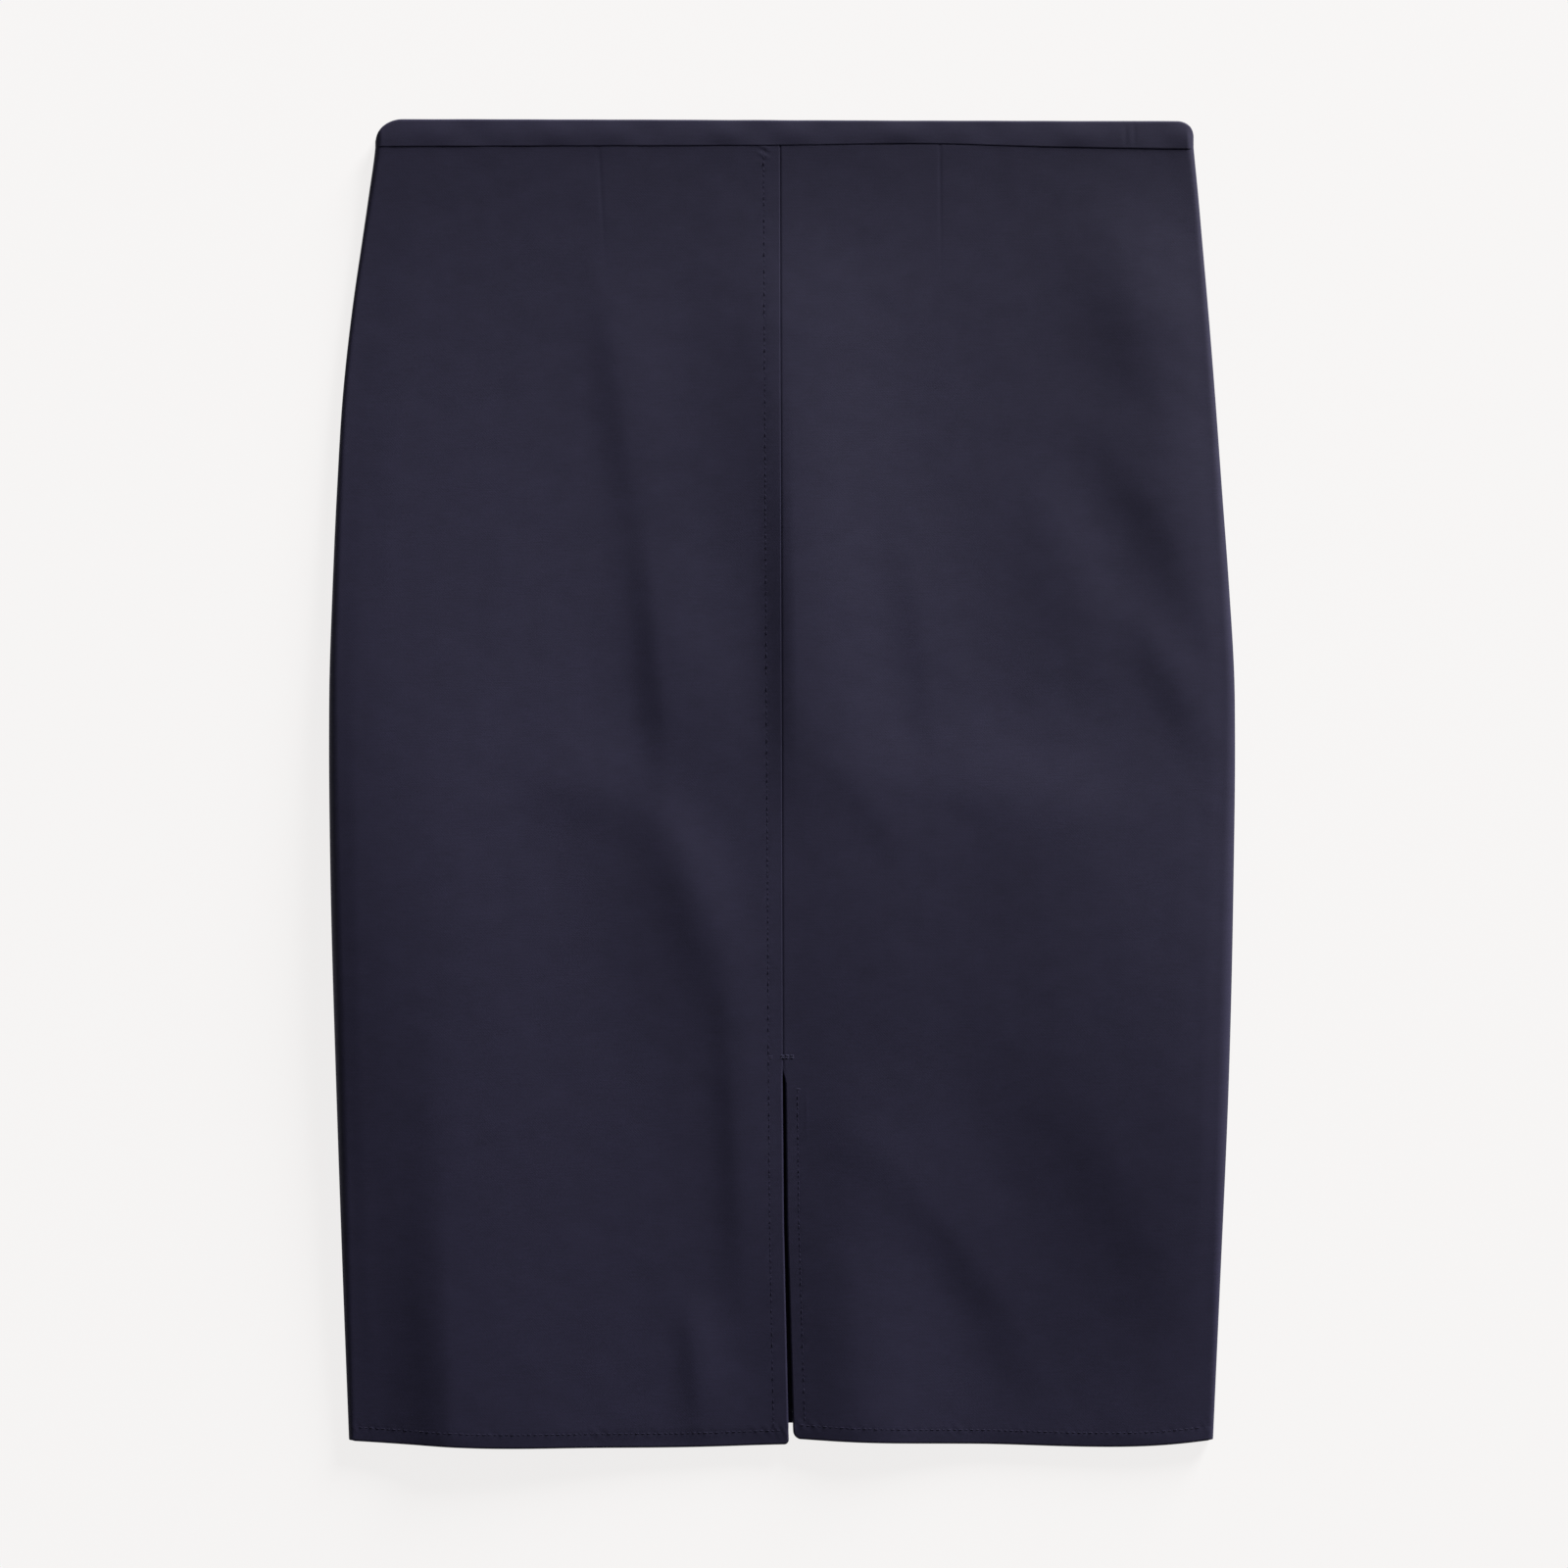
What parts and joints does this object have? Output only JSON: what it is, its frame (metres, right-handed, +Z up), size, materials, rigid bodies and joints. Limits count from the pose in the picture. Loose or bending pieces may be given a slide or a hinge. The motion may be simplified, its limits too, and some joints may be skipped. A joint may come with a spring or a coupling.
{
  "type": "pencil skirt",
  "caption": "Knee-length pencil skirt laid flat: two shaped panels with a topstitched centre seam that opens into a hem slit, a plain panel behind and a narrow waistband.",
  "frame": {"origin": "the middle of the flat underside, on the surface that the skirt lies on", "axes": "+Y towards the waist, +X to the right as seen from above, +Z up, off the surface; the side with the centre seam faces +Z"},
  "size_m": [0.425, 0.6232, 0.0139],
  "materials": {
    "cloth": "fine smooth woven suiting, dark navy, with a very slight sheen"
  },
  "bodies": {
    "root": {"seamed_panel_left": "cloth", "seamed_panel_right": "cloth", "plain_panel": "cloth", "waistband_seamed_side": "cloth", "waistband_plain_side": "cloth"}
  },
  "joints": []
}
